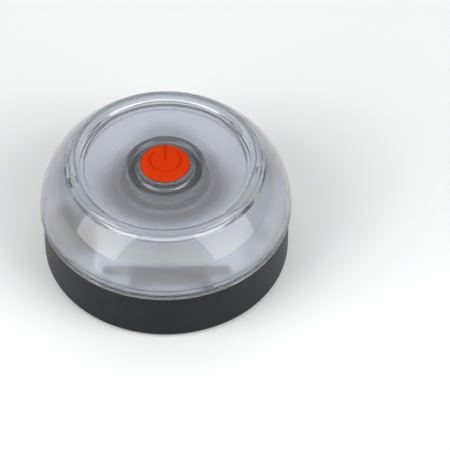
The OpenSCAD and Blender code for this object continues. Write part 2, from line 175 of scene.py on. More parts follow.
# Plastic, rubber, ceramic or lacquer; coat is a clear skin over it
def moulded(name, colour, roughness, grain_size=0.3 * mm, grain_depth=0.25, dust=0.0, gloss=0.5,
            coat=0.0, coat_roughness=0.03):
    material, tree, surface = new_material(name)
    face = add(tree, "ShaderNodeGroup", {"Colour": (*colour, 1), "Roughness": roughness,
                                         "Grain Size": grain_size, "Grain Depth": grain_depth},
               node_tree=moulded_face)
    top = face.outputs["Colour"]
    if dust:
        top = add(tree, "ShaderNodeGroup", {"Colour": top, "Amount": dust},
                  node_tree=settled_dust).outputs["Colour"]
    feed(tree, surface, {"Base Color": top, "Roughness": face.outputs["Roughness"],
                         "Normal": face.outputs["Normal"], "Specular IOR Level": gloss,
                         "Coat Weight": coat, "Coat Roughness": coat_roughness})
    return material


dress(moulded("base_abs", colour=(0.006, 0.0065, 0.0082), roughness=0.4, gloss=0.19, dust=0.02),
      "base_housing")

# ---- Magnets, their keeper plate and its screws ----
# Two nickel-plated neodymium discs drop into cups in the floor. A stamped and zinc-plated steel
# plate closes their field from behind, and two self-tapping screws hold it down.

# Streaks along a rolled, drawn or turned metal face, and a thin uneven film of oxide
def build_worked_metal():
    group = Group("worked_metal",
                  [("Colour", "Color", (0.6, 0.6, 0.6, 1)),
                   ("Oxide", "Color", (0.3, 0.28, 0.25, 1)), ("Roughness", "Float", 0.3),
                   ("Stretch", "Vector", (1, 8, 1)), ("Streak Scale", "Float", 900.0),
                   ("Oxide Amount", "Float", 0.2)],
                  [("Colour", "Color"), ("Roughness", "Float"), ("Normal", "Vector")])
    film_scale = 240.0
    film_roughness = 0.4
    streak_depth, streak_height = 0.25, 0.02 * mm
    along = group.node("VectorMath", {0: group.place, 1: group.given["Stretch"]},
                       operation="MULTIPLY").outputs[0]
    streaks = group.noise(group.given["Streak Scale"], 3.0, along)
    film = group.spread(group.noise(film_scale, detail=4.0), 0.0, 1.0, start=0.45, stop=0.75)
    oxide = group.maths("MULTIPLY", film, group.given["Oxide Amount"])
    bright = group.maths("MULTIPLY", group.given["Roughness"], group.spread(streaks, 0.8, 1.2))
    return group.finish(
        Colour=group.blend(oxide, group.given["Colour"], group.given["Oxide"]),
        Roughness=group.maths("ADD", group.maths("MULTIPLY", oxide, film_roughness), bright),
        Normal=group.bump(streaks, streak_depth, streak_height))


worked_metal = build_worked_metal()


# Streaks run at right angles to the axis with the largest stretch, so round a turned piece
def metal(name, colour, roughness, oxide=0.15, stretch=(1, 8, 1), streak_scale=900.0):
    material, tree, surface = new_material(name)
    dulled = 0.45
    face = add(tree, "ShaderNodeGroup",
               {"Colour": (*colour, 1), "Oxide": (*(dulled * part for part in colour), 1),
                "Roughness": roughness, "Stretch": stretch, "Streak Scale": streak_scale,
                "Oxide Amount": oxide}, node_tree=worked_metal)
    feed(tree, surface, {"Base Color": face.outputs["Colour"], "Metallic": 1,
                         "Roughness": face.outputs["Roughness"],
                         "Normal": face.outputs["Normal"]})
    return material


dress(metal("magnet_nickel", colour=(0.6, 0.6, 0.61), roughness=0.22), "magnets")
dress(metal("keeper_zinc", colour=(0.5, 0.52, 0.54), roughness=0.38, oxide=0.35,
            stretch=(6, 1, 1), streak_scale=500.0), "magnet_keeper")
screw_steel = metal("screw_steel", colour=(0.4, 0.41, 0.43), roughness=0.32, oxide=0.2,
                    stretch=(1, 1, 6), streak_scale=1400.0)
dress(screw_steel, "keeper_screws")

# ---- Rubber feet ----
# Four nitrile rubber discs glued into shallow seats under the base. They stand 0.6 mm proud, and
# their faces pick up grey dust from whatever the flare stands on.

dress(moulded("foot_rubber", colour=(0.014, 0.014, 0.015), roughness=0.82, grain_size=0.5 * mm,
              grain_depth=0.5, dust=0.35, gloss=0.25), "rubber_feet")

# ---- Battery contacts and leads ----
# Two stamped bronze leaves press on the battery's terminals. Their tails pass through the bay's
# wall, and a PVC-insulated lead is soldered to each and runs up to the board.

dress(metal("contact_bronze", colour=(0.62, 0.5, 0.3), roughness=0.3, oxide=0.3,
            stretch=(1, 1, 7)), "battery_contacts")


# PVC drawn over the strands: shiny, with the faint lay of the copper under it
def insulated(name, colour):
    return moulded(name, colour, roughness=0.32, grain_size=1.2 * mm, grain_depth=0.35,
                   coat=0.3, coat_roughness=0.2)


dress(insulated("lead_red_pvc", (0.5, 0.012, 0.008)), "lead_red")
dress(insulated("lead_black_pvc", (0.012, 0.012, 0.013)), "lead_black")

# ---- Battery ----
# A flat 9 V battery standing on its long edge. Its drawn steel can is lacquered, and is rolled over
# an end plate at both ends; a stud and a six-sided socket are riveted through the left one.

case_low, case_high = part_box("battery")
case_corner = 2.2 * mm
case_corner_least = 0.4 * mm
case_roll = 0.45 * mm
roll_swell = 1.2
plate_depth, plate_inset = 1.0 * mm, 1.5 * mm
step_depth, step_inset = 0.25 * mm, 1.3 * mm
neck_inset = 0.12 * mm
sleeve_inset = 0.08 * mm


# Rounded rectangle across X, pulled in by an inset
def case_loop(mesh, x, inset, steps=6):
    middle = (case_low + case_high) / 2
    half_y = (case_high.y - case_low.y) / 2 - inset
    half_z = (case_high.z - case_low.z) / 2 - inset
    radius = max(case_corner - inset, case_corner_least)
    ring = []
    for quarter, (sign_y, sign_z) in enumerate(((1, 1), (-1, 1), (-1, -1), (1, -1))):
        for step in range(steps + 1):
            turn = math.radians(90) * (quarter + step / steps)
            y = middle.y + sign_y * (half_y - radius) + radius * math.cos(turn)
            z = middle.z + sign_z * (half_z - radius) + radius * math.sin(turn)
            ring.append(mesh.verts.new((x, y, z)))
    return ring


def bridge(mesh, first, second, material_index):
    for i in range(len(first)):
        j = (i + 1) % len(first)
        face = mesh.faces.new((first[i], first[j], second[j], second[i]))
        face.material_index = material_index
        face.smooth = True


def build_battery_case():
    mesh = bmesh.new()
    # the roll at one end, from the sunk plate outwards, as (distance from the end, inset)
    roll = [(plate_depth, plate_inset), (step_depth, step_inset)]
    for turn in (math.radians(30), math.radians(90)):
        roll.append((case_roll * (1 - math.sin(turn)),
                     case_roll * (1 + roll_swell * math.cos(turn))))
    roll += [(case_roll, neck_inset), (2 * case_roll, 0.0), (3 * case_roll, sleeve_inset)]
    stations = [(case_low.x + depth, inset) for depth, inset in roll]
    stations += [(case_high.x - depth, inset) for depth, inset in reversed(roll)]
    loops = [case_loop(mesh, x, inset) for x, inset in stations]
    lacquer, steel = 0, 1
    for number, (first, second) in enumerate(zip(loops, loops[1:])):
        bridge(mesh, first, second, lacquer if number == len(roll) - 1 else steel)
    for ring in (loops[0], list(reversed(loops[-1]))):
        mesh.faces.new(ring).material_index = steel
    bmesh.ops.recalc_face_normals(mesh, faces=mesh.faces)
    data = bpy.data.meshes.new("battery_case")
    mesh.to_mesh(data)
    mesh.free()
    return data


battery_case = bpy.data.objects.new("battery_case", build_battery_case())
bpy.context.scene.collection.objects.link(battery_case)
battery_case.data.materials.append(
    moulded("case_lacquer", colour=(0.2, 0.185, 0.17), roughness=0.34, grain_size=0.8 * mm,
            grain_depth=0.08, coat=0.25, coat_roughness=0.15))
battery_case.data.materials.append(
    metal("case_steel", colour=(0.55, 0.55, 0.56), roughness=0.28, stretch=(8, 1, 1)))
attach(battery_case, "housing")
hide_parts("battery")
dress(metal("terminal_nickel", colour=(0.66, 0.64, 0.58), roughness=0.24, oxide=0.2),
      "battery_terminals")

# ---- Battery door, its seal, foam pad and hinge pins ----
# A flat ABS door in the underside with a rolled edge, turning on two steel pins. A moulded rubber
# ring lies in its groove, and a strip of foam glued inside keeps the battery from rattling.

dress(moulded("door_abs", colour=(0.0145, 0.0155, 0.018), roughness=0.46, grain_size=0.35 * mm,
              grain_depth=0.35, dust=0.05, gloss=0.4), "battery_door")
dress(moulded("seal_rubber", colour=(0.02, 0.02, 0.022), roughness=0.7, grain_size=0.4 * mm,
              grain_depth=0.3, dust=0.06), "door_seal")
dress(metal("pin_steel", colour=(0.56, 0.57, 0.58), roughness=0.2, oxide=0.1, stretch=(8, 1, 1)),
      "hinge_pin")


# Open-cell foam: rounded cells that the bump sinks into pits, with painted shade that darkens each
# pit toward its middle
def build_pad_foam():
    material, tree, surface = new_material("pad_foam")
    cell_scale = 1800.0
    place = add(tree, "ShaderNodeTexCoord").outputs["Object"]
    cells = add(tree, "ShaderNodeTexVoronoi", {"Vector": place, "Scale": cell_scale})
    depth = add(tree, "ShaderNodeBump", {"Height": cells.outputs["Distance"], "Strength": 0.8,
                                         "Distance": 0.2 * mm})
    # painted shade: the colour darkens toward each cell's middle, where the bump makes the pit
    # deepest
    painted_pit_shade = add(tree, "ShaderNodeMix", {0: cells.outputs["Distance"], 6: (0.035, 0.037, 0.04, 1),
                                        7: (0.12, 0.125, 0.135, 1)}, data_type="RGBA")
    feed(tree, surface, {"Base Color": painted_pit_shade.outputs[2], "Normal": depth.outputs["Normal"],
                         "Roughness": 0.95})
    return material


dress(build_pad_foam(), "battery_pad")

# ---- Inner frame and its screws ----
# A white ABS moulding that stands on the base's posts, holds the battery upright behind a window
# and carries the board. Three screws and a peg fix it. Its faces are plain and a little glossy.

dress(moulded("white_abs", colour=(0.84, 0.865, 0.91), roughness=0.42, grain_size=0.7 * mm,
              grain_depth=0.08), "inner_frame")
dress(metal("black_steel", colour=(0.03, 0.03, 0.034), roughness=0.4, oxide=0.2,
            stretch=(1, 1, 6)), "frame_screws")

# ---- Radio block ----
# A sintered ceramic block in a shallow cup, set on the frame at the left: buff-coloured, dry and
# very finely speckled, which is how such a body comes out of its press.

dress(moulded("antenna_ceramic", colour=(0.2, 0.175, 0.14), roughness=0.7,
              grain_size=0.15 * mm, grain_depth=0.6, dust=0.04), "antenna_block")

# ---- Circuit board ----
# A round FR-4 board under white solder mask, so that it throws light back up. Copper tracks stand
# out a little under the mask, and the routed edge shows the yellow-green laminate.

board_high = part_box("led_board")[1]


def build_board_mask():
    material, tree, surface = new_material("board_mask")
    track_spacing_scale, weave_scale = 260.0, 2200.0
    place = add(tree, "ShaderNodeTexCoord").outputs["Object"]
    # tracks: the borders between large cells that are laid out nearly square
    cells = add(tree, "ShaderNodeTexVoronoi", {"Vector": place, "Scale": track_spacing_scale,
                                               "Randomness": 0.55}, feature="DISTANCE_TO_EDGE")
    tracks = add(tree, "ShaderNodeMapRange", {"Value": cells.outputs["Distance"],
                                              "From Min": 0.05, "From Max": 0.075})
    relief = add(tree, "ShaderNodeBump", {"Height": tracks.outputs["Result"], "Strength": 0.5,
                                          "Distance": 0.05 * mm}, invert=True)
    white = add(tree, "ShaderNodeMix", {0: tracks.outputs["Result"], 6: (0.66, 0.68, 0.62, 1),
                                        7: (0.8, 0.81, 0.8, 1)}, data_type="RGBA")
    # the laminate shows round the edge
    flat = add(tree, "ShaderNodeVectorMath", {0: place, 1: (1, 1, 0)}, operation="MULTIPLY")
    reach = add(tree, "ShaderNodeVectorMath", {0: flat.outputs[0]}, operation="LENGTH")
    rim = add(tree, "ShaderNodeMath", {0: reach.outputs["Value"], 1: board_high.x - 0.03 * mm},
              operation="GREATER_THAN")
    weave = add(tree, "ShaderNodeTexNoise", {"Vector": place, "Scale": weave_scale})
    laminate = add(tree, "ShaderNodeMix", {0: weave.outputs["Fac"], 6: (0.3, 0.3, 0.12, 1),
                                           7: (0.5, 0.48, 0.25, 1)}, data_type="RGBA")
    colour = add(tree, "ShaderNodeMix", {0: rim.outputs[0], 6: white.outputs[2],
                                         7: laminate.outputs[2]}, data_type="RGBA")
    feed(tree, surface, {"Base Color": colour.outputs[2], "Normal": relief.outputs["Normal"],
                         "Roughness": 0.38})
    return material


dress(build_board_mask(), "led_board")
dress(screw_steel, "board_screws")
dress(metal("gold_pin", colour=(0.75, 0.52, 0.17), roughness=0.2, oxide=0.05, stretch=(1, 1, 6)),
      "pin_header")

# ---- LEDs and their solder ----
# A ring of white PPA packages with a clear silicone dome on each. Two bright solder joints hold
# each package, one at either side, and the tree below sets them round the ring.

dress(moulded("led_package", colour=(0.78, 0.76, 0.68), roughness=0.5, grain_size=0.25 * mm,
              grain_depth=0.1), "led_bodies")


# Clear silicone that the phosphor under it tints yellow, and that scatters a little light
def build_led_silicone():
    material = moulded("led_silicone", colour=(0.82, 0.76, 0.5), roughness=0.14,
                       grain_size=0.4 * mm, grain_depth=0.05, coat=0.6, coat_roughness=0.08)
    tree = material.node_tree
    feed(tree, tree.nodes["Principled BSDF"], {"Subsurface Weight": 0.2,
                                               "Subsurface Scale": 0.5 * mm})
    return material


dress(build_led_silicone(), "led_lenses")


class Tree:
    """A geometry node tree under construction, with named inputs for its sizes."""

    crease = math.radians(32)  # edges that bend more than this stay sharp

    def __init__(self, name, inputs):
        self.tree = bpy.data.node_groups.new(name, "GeometryNodeTree")
        open_socket(self.tree, "INPUT", "Geometry", "Geometry")
        for label, kind, value in inputs:
            open_socket(self.tree, "INPUT", label, kind).default_value = value
        open_socket(self.tree, "INPUT", "Material", "Material")
        open_socket(self.tree, "OUTPUT", "Geometry", "Geometry")
        self.given = self.tree.nodes.new("NodeGroupInput").outputs
        self.result = self.tree.nodes.new("NodeGroupOutput")

    def node(self, kind, inputs, **settings):
        return add(self.tree, kind, inputs, **settings)

    def maths(self, operation, *values):
        return self.node("ShaderNodeMath", dict(enumerate(values)), operation=operation).outputs[0]

    def vector(self, x, y, z):
        return self.node("ShaderNodeCombineXYZ", {"X": x, "Y": y, "Z": z}).outputs[0]

    def move(self, geometry, offset, turn=(0, 0, 0), scale=(1, 1, 1)):
        return self.node("GeometryNodeTransform", {"Geometry": geometry, "Translation": offset,
                                                   "Rotation": turn, "Scale": scale}).outputs[0]

    def join(self, *geometries):
        joined = self.tree.nodes.new("GeometryNodeJoinGeometry")
        for geometry in geometries:
            self.tree.links.new(geometry, joined.inputs[0])
        return joined.outputs[0]

    def finish(self, geometry):
        real = self.node("GeometryNodeRealizeInstances", {"Geometry": geometry}).outputs[0]
        smooth = self.node("GeometryNodeSetShadeSmooth", {"Geometry": real, "Shade Smooth": True})
        bend = self.tree.nodes.new("GeometryNodeInputMeshEdgeAngle").outputs[0]
        corner = self.maths("GREATER_THAN", bend, self.crease)
        crisp = self.node("GeometryNodeSetShadeSmooth", {
            "Geometry": smooth.outputs[0], "Selection": corner, "Shade Smooth": False},
            domain="EDGE")
        dressed = self.node("GeometryNodeSetMaterial", {"Geometry": crisp.outputs[0],
                                                        "Material": self.given["Material"]})
        self.tree.links.new(dressed.outputs[0], self.result.inputs[0])
        return self.tree


# Runs a tree with a piece's sizes and keeps the result as a plain mesh
def grow(name, tree, body, slot, start=None, **sizes):
    seed = bpy.data.objects.new(name + "_seed", start or bpy.data.meshes.new(name + "_seed"))
    bpy.context.scene.collection.objects.link(seed)
    modifier = seed.modifiers.new("tree", "NODES")
    modifier.node_group = tree
    for item in tree.interface.items_tree:
        if item.in_out == "INPUT" and item.name in sizes:
            modifier[item.identifier] = sizes[item.name]
    evaluated = seed.evaluated_get(bpy.context.evaluated_depsgraph_get())
    made = bpy.data.meshes.new_from_object(evaluated)
    bpy.data.objects.remove(seed)
    made.name = name
    piece = bpy.data.objects.new(name, made)
    bpy.context.scene.collection.objects.link(piece)
    if body:
        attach(piece, body)
    return piece


# Solder fillets in pairs round a ring
def build_solder_ring():
    tree = Tree("solder_ring", [("Count", "Int", 12), ("Ring", "Float", 25 * mm),
                                ("Level", "Float", 30 * mm), ("Apart", "Float", 3.5 * mm),
                                ("Size", "Float", 1 * mm)])
    given = tree.given
    ring = tree.node("GeometryNodeMeshCircle", {"Vertices": given["Count"],
                                                "Radius": given["Ring"]})
    half_step = tree.maths("DIVIDE", math.pi, given["Count"])
    turned = tree.move(ring.outputs[0], tree.vector(0.0, 0.0, given["Level"]),
                       tree.vector(0.0, 0.0, half_step))
    blob = tree.node("GeometryNodeMeshUVSphere", {"Segments": 12, "Rings": 8,
                                                  "Radius": given["Size"]}).outputs[0]
    fillet = tree.move(blob, (0, 0, 0), scale=(1.5, 0.75, 0.6))
    half = tree.maths("MULTIPLY", given["Apart"], 0.5)
    other_half = tree.maths("MULTIPLY", half, -1.0)
    pair = tree.join(tree.move(fillet, tree.vector(0.0, half, 0.0)),
                     tree.move(fillet, tree.vector(0.0, other_half, 0.0)))
    here = tree.node("GeometryNodeInputPosition", {}).outputs[0]
    level = tree.node("ShaderNodeVectorMath", {0: here, 1: (1, 1, 0)}, operation="MULTIPLY")
    aim = tree.node("FunctionNodeAlignRotationToVector", {"Vector": level.outputs[0]}, axis="X",
                    pivot_axis="Z")
    set_out = tree.node("GeometryNodeInstanceOnPoints", {"Points": turned, "Instance": pair,
                                                         "Rotation": aim.outputs[0]})
    return tree.finish(set_out.outputs[0])


led_count = 12
led_ring = 25 * mm
solder = metal("solder", colour=(0.62, 0.63, 0.65), roughness=0.25, oxide=0.2,
               stretch=(1, 1, 1), streak_scale=1500.0)
grow("led_solder", build_solder_ring(), "housing", "capacitor_can", Count=led_count,
     Ring=led_ring, Level=board_high.z + 0.12 * mm, Apart=4.0 * mm, Size=0.42 * mm,
     Material=solder)

# ---- Chips ----
# Black epoxy packages: one square control chip with legs on all sides and two drivers with legs at
# their ends. The legs are stamped and tinned copper, bent down and out onto their pads.

dress(moulded("chip_epoxy", colour=(0.016, 0.016, 0.018), roughness=0.6, grain_size=0.12 * mm,
              grain_depth=0.5), "control_chip", "driver_chips", "switch_body")
dress(moulded("resistor_glaze", colour=(0.035, 0.032, 0.03), roughness=0.3,
              grain_size=0.6 * mm, grain_depth=0.15), "chip_resistors")


# A row of gull-wing legs along X at each side of a package
def build_leg_rows():
    tree = Tree("leg_rows", [("Count", "Int", 3), ("Pitch", "Float", 1.27 * mm),
                             ("Width", "Float", 0.4 * mm), ("Thickness", "Float", 0.2 * mm),
                             ("Reach", "Float", 0.8 * mm), ("Rise", "Float", 0.6 * mm),
                             ("Side", "Float", 2.5 * mm)])
    given = tree.given
    bend_share, root_share = 0.4, 0.4
    bend = tree.maths("MULTIPLY", given["Reach"], bend_share)
    root = tree.maths("MULTIPLY", bend, -root_share)
    path = tree.node("GeometryNodeCurvePrimitiveBezierSegment", {
        "Resolution": 8, "Start": tree.vector(0.0, root, given["Rise"]),
        "Start Handle": tree.vector(0.0, bend, given["Rise"]),
        "End Handle": tree.vector(0.0, bend, 0.0), "End": tree.vector(0.0, given["Reach"], 0.0)})
    section = tree.node("GeometryNodeCurvePrimitiveQuadrilateral", {
        "Width": given["Thickness"], "Height": given["Width"]})
    leg = tree.node("GeometryNodeCurveToMesh", {
        "Curve": path.outputs[0], "Profile Curve": section.outputs[0], "Fill Caps": True})
    last = tree.maths("SUBTRACT", given["Count"], 1.0)
    start = tree.maths("MULTIPLY", tree.maths("MULTIPLY", last, given["Pitch"]), -0.5)
    row = tree.node("GeometryNodeMeshLine", {
        "Count": given["Count"], "Offset": tree.vector(given["Pitch"], 0.0, 0.0),
        "Start Location": tree.vector(start, given["Side"], 0.0)})
    legs = tree.node("GeometryNodeInstanceOnPoints", {"Points": row.outputs[0],
                                                      "Instance": leg.outputs[0]}).outputs[0]
    return tree.finish(tree.join(legs, tree.move(legs, (0, 0, 0), (0, 0, math.pi))))


leg_rows = build_leg_rows()
leg_level = board_high.z + 0.09 * mm
tinned = metal("tinned_copper", colour=(0.6, 0.6, 0.58), roughness=0.28, stretch=(1, 6, 1))


# Sets rows of legs at one chip, turned about Z
def legs_at(name, centre, turn, **sizes):
    piece = grow(name, leg_rows, "housing", "capacitor_can", Material=tinned,
                 Thickness=0.15 * mm, Rise=0.5 * mm, Reach=0.9 * mm, **sizes)
    for vertex in piece.data.vertices:
        x, y, z = vertex.co
        vertex.co = (centre.x + x * math.cos(turn) - y * math.sin(turn),
                     centre.y + x * math.sin(turn) + y * math.cos(turn), leg_level + z)


chip_low, chip_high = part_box("control_chip")
for side, turn in (("front_back", 0.0), ("left_right", math.pi / 2)):
    legs_at("control_legs_" + side, (chip_low + chip_high) / 2, turn, Count=10,
            Pitch=0.6 * mm, Width=0.28 * mm, Side=(chip_high.x - chip_low.x) / 2)
driver_low, driver_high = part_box("driver_chips")
driver_width = 3.8 * mm
driver_y = (driver_low.y + driver_high.y) / 2
for side, x in (("left", driver_low.x + driver_width / 2),
                ("right", driver_high.x - driver_width / 2)):
    legs_at("driver_legs_" + side, Vector((x, driver_y, 0)), 0.0, Count=3, Pitch=1.1 * mm,
            Width=0.42 * mm, Side=(driver_high.y - driver_low.y) / 2)

# ---- Inductor and capacitors ----
# A ferrite drum wound with one layer of enamelled copper wire, and two aluminium capacitors in
# plain drawn cans.

dress(moulded("ferrite", colour=(0.022, 0.021, 0.023), roughness=0.75, grain_size=0.2 * mm,
              grain_depth=0.7), "inductor")


# One layer of wire wound on a drum
def build_winding():
    tree = Tree("winding", [("Turns", "Float", 5.0), ("Radius", "Float", 3 * mm),
                            ("Height", "Float", 1.8 * mm), ("Wire", "Float", 0.17 * mm),
                            ("Centre", "Vector", (0, 0, 0))])
    given = tree.given
    path = tree.node("GeometryNodeCurveSpiral", {
        "Resolution": 32, "Rotations": given["Turns"], "Start Radius": given["Radius"],
        "End Radius": given["Radius"], "Height": given["Height"]})
    wire = tree.node("GeometryNodeCurvePrimitiveCircle", {"Resolution": 10,
                                                          "Radius": given["Wire"]})
    tube = tree.node("GeometryNodeCurveToMesh", {
        "Curve": path.outputs[0], "Profile Curve": wire.outputs[0], "Fill Caps": True})
    return tree.finish(tree.move(tube.outputs[0], given["Centre"]))


drum_low, drum_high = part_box("inductor")
drum_middle = (drum_low + drum_high) / 2
enamelled_wire = metal("enamelled_wire", colour=(0.62, 0.25, 0.1), roughness=0.25, oxide=0.1,
                       stretch=(1, 1, 1))
grow("inductor_winding", build_winding(), "housing", "gold_pin", Turns=4.6, Radius=3.05 * mm,
     Height=1.6 * mm, Wire=0.17 * mm, Material=enamelled_wire,
     Centre=(drum_middle.x, drum_middle.y, drum_low.z + 1.2 * mm))
dress(metal("capacitor_can", colour=(0.62, 0.63, 0.65), roughness=0.3, oxide=0.1,
            stretch=(1, 1, 6)), "capacitors")

# ---- Reflector ----
# A trumpet of ABS, vacuum metallised with aluminium and lacquered. It is satin rather than mirror
# bright, with faint rings left by the turned mould, and it throws the light out sideways.

def build_trumpet_silver():
    material, tree, surface = new_material("trumpet_silver")
    ring_scale = 700.0
    ring_depth, ring_height = 0.05, 0.02 * mm
    face = add(tree, "ShaderNodeGroup", {"Colour": (0.56, 0.555, 0.575, 1), "Roughness": 0.26,
                                         "Grain Size": 0.25 * mm, "Grain Depth": 0.3},
               node_tree=moulded_face)
    place = add(tree, "ShaderNodeTexCoord").outputs["Object"]
    rings = add(tree, "ShaderNodeTexWave", {"Vector": place, "Scale": ring_scale,
                                            "Distortion": 0.4},
                wave_type="RINGS", rings_direction="Z")
    turned = add(tree, "ShaderNodeBump", {"Height": rings.outputs["Fac"], "Strength": ring_depth,
                                          "Distance": ring_height,
                                          "Normal": face.outputs["Normal"]})
    feed(tree, surface, {"Base Color": face.outputs["Colour"], "Metallic": 1,
                         "Roughness": face.outputs["Roughness"],
                         "Normal": turned.outputs["Normal"]})
    return material


dress(build_trumpet_silver(), "reflector")

# ---- Switch ----
# A sealed tact switch on the board: a black epoxy-sealed body, moulded like the chips, with a pale
# nylon stem that the button pushes.

dress(moulded("switch_white", colour=(0.6, 0.6, 0.56), roughness=0.45, grain_depth=0.15),
      "switch_stem")

# ---- Housing seal ----
# A brown-black rubber ring in the base's rim, squeezed under the lens flange. Only its edge shows,
# as a fine dark line.

dress(moulded("housing_rubber", colour=(0.06, 0.045, 0.038), roughness=0.6, grain_depth=0.3),
      "housing_seal")

# ---- Lens ----
# The dome is one moulding of clear polycarbonate. Its outside is polished all over; the mould is
# blasted where it makes the inner side of the shoulder, so the inside shows only as soft shapes.

lens_low, lens_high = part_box("lens_dome")
seam = lens_high.z - 24.05 * mm  # where the flange rests on the base's rim
spigot_r, spigot_in = 44.8 * mm, 43.4 * mm
bead_out = 0.2 * mm
flange_edge, flange_round = 0.15 * mm, 0.3 * mm
shoulder_in = 18.7 * mm
shoulder_level = seam + 0.8 * mm
shoulder_r = 29.5 * mm
wall = 2.2 * mm
crest_r, crest_round = 35 * mm, 2.6 * mm
dish_r = 30.9 * mm
dish_level = lens_high.z - 1.6 * mm
dish_under = dish_level - 1.85 * mm
well_under = dish_under - 1.9 * mm
groove_ring, groove_r = 12.95 * mm, 2.05 * mm
collar_r = groove_ring - groove_r
bore_r = 9.4 * mm
bore_round = 0.2 * mm
collar_round = 0.3 * mm


# Points on an arc, between two angles in degrees
def arc(x, y, radius, start, stop, steps):
    turns = [math.radians(start + (stop - start) * i / steps) for i in range(steps + 1)]
    return [(x + radius * math.cos(turn), y + radius * math.sin(turn)) for turn in turns]


# Angle on a circle at which it reaches a level
def angle_at(level, middle, radius):
    return math.degrees(math.asin((level - middle) / radius))


# Half section of the dome, as (distance from the axis, height), going up the outside first
def dome_outline():
    # the spigot with its snap bead, and the flange
    bead_level, bead_half = seam - 2 * mm, 0.1 * mm
    bead_r = spigot_r + bead_out
    flange_top = seam + 1.7 * mm
    outside = [(spigot_r, lens_low.z), (spigot_r, bead_level - 2 * bead_half),
               (bead_r, bead_level - bead_half), (bead_r, bead_level + bead_half),
               (spigot_r, bead_level + 2 * bead_half), (spigot_r, seam)]
    outside += arc(lens_high.x - flange_edge, seam + flange_edge, flange_edge, -90, 0, 3)
    outside += arc(lens_high.x - flange_round, flange_top - flange_round, flange_round, 0, 90, 4)
    outside += [(lens_high.x - 0.5 * mm, flange_top + 0.05 * mm)]
    # the shoulder, and the rim that rolls over from it into the dish
    shoulder_foot = seam + 2.4 * mm
    ledge = lens_high.z - 0.7 * mm
    crest_middle = lens_high.z - crest_round
    step_level, step_width = dish_level + 0.3 * mm, 0.3 * mm
    chamfer = 0.1 * mm
    outside += arc(shoulder_in, shoulder_level, shoulder_r,
                   angle_at(shoulder_foot, shoulder_level, shoulder_r),
                   angle_at(ledge, shoulder_level, shoulder_r), 40)
    outside += arc(crest_r, crest_middle, crest_round, angle_at(ledge, crest_middle, crest_round),
                   180 - angle_at(step_level, crest_middle, crest_round), 24)
    # the dish, the groove round the collar, and the collar
    collar_top = dish_level + 0.8 * mm
    top = [(dish_r + 2 * step_width, step_level), (dish_r + step_width, step_level),
           (dish_r, dish_level + chamfer), (dish_r - chamfer, dish_level),
           (groove_ring + groove_r + 0.15 * mm, dish_level)]
    top += arc(groove_ring, dish_level, groove_r, -6, -180, 28)
    top += arc(collar_r - collar_round, collar_top - collar_round, collar_round, 0, 90, 6)
    top += arc(bore_r + bore_round, collar_top - bore_round, bore_round, 90, 180, 5)
    # the underside: the well, the shoulder's inner wall and the lip over the spigot
    well_r, well_round = groove_ring + groove_r - 0.1 * mm, 0.3 * mm
    inner_r = shoulder_r - wall
    lip, lip_height, lip_reach = seam + 1.2 * mm, 2.1 * mm, 2 * mm
    below = [(bore_r, well_under), (well_r - well_round, well_under),
             (well_r, well_under + well_round), (well_r, dish_under)]
    below += arc(shoulder_in, shoulder_level, inner_r,
                 angle_at(dish_under, shoulder_level, inner_r),
                 angle_at(lip + lip_height, shoulder_level, inner_r), 36)
    below += [(spigot_in + lip_reach, lip + lip_height), (spigot_in, lip),
              (spigot_in, lens_low.z)]
    return outside + top + below


# Turns an outline, a closed loop of (distance, height), round the axis
def build_turned_piece():
    tree = Tree("turned_piece", [("Segments", "Int", 96)])
    sweep_r = 10 * mm
    outline = tree.move(tree.given["Geometry"], (-sweep_r, 0, 0), scale=(1, -1, 1))
    section = tree.node("GeometryNodeMeshToCurve", {"Mesh": outline}).outputs[0]
    round_axis = tree.node("GeometryNodeCurvePrimitiveCircle", {
        "Resolution": tree.given["Segments"], "Radius": sweep_r}).outputs[0]
    turned = tree.node("GeometryNodeCurveToMesh", {"Curve": round_axis,
                                                   "Profile Curve": section})
    return tree.finish(turned.outputs[0])


def outline_mesh(name, points):
    mesh = bpy.data.meshes.new(name)
    loop = [(i, (i + 1) % len(points)) for i in range(len(points))]
    mesh.from_pydata([(x, y, 0) for x, y in reversed(points)], loop, [])
    return mesh


# Marks the inner wall of the shoulder: inside an arc in section, and under the dish
def build_frosted_wall():
    group = Group("frosted_wall",
                  [("Arc Radius", "Float", 18.7 * mm), ("Arc Height", "Float", 24 * mm),
                   ("Wall Radius", "Float", 28.4 * mm), ("Ceiling", "Float", 43.6 * mm)],
                  [("Mask", "Float")])
    level = group.node("VectorMath", {0: group.place, 1: (1, 1, 0)}, operation="MULTIPLY")
    reach = group.node("VectorMath", {0: level.outputs[0]}, operation="LENGTH").outputs["Value"]
    height = group.node("SeparateXYZ", {0: group.place}).outputs["Z"]
    out = group.maths("SUBTRACT", reach, group.given["Arc Radius"])
    up = group.maths("SUBTRACT", height, group.given["Arc Height"])
    far = group.maths("SQRT", group.maths("ADD", group.maths("MULTIPLY", out, out),
                                          group.maths("MULTIPLY", up, up)))
    inside = group.maths("LESS_THAN", far, group.given["Wall Radius"])
    below = group.maths("LESS_THAN", height, group.given["Ceiling"])
    return group.finish(Mask=group.maths("MULTIPLY", inside, below))


def build_clear_lens():
    material, tree, surface = new_material("clear_lens")
    polished, blasted = 0.03, 0.5
    frost = add(tree, "ShaderNodeGroup", {
        "Arc Radius": shoulder_in, "Arc Height": shoulder_level,
        "Wall Radius": shoulder_r - wall / 2, "Ceiling": dish_under - 0.1 * mm},
        node_tree=build_frosted_wall())
    finish = add(tree, "ShaderNodeMapRange", {"Value": frost.outputs["Mask"],
                                              "To Min": polished, "To Max": blasted})
    feed(tree, surface, {"Roughness": finish.outputs["Result"], "IOR": 1.5,
                         "Base Color": (0.925, 0.95, 1, 1), "Transmission Weight": 0.94})
    return material


turned_piece = build_turned_piece()
dome = grow("dome", turned_piece, "housing", "clear_lens",
            outline_mesh("dome_outline", dome_outline()), Segments=192,
            Material=build_clear_lens())
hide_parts("lens_dome")

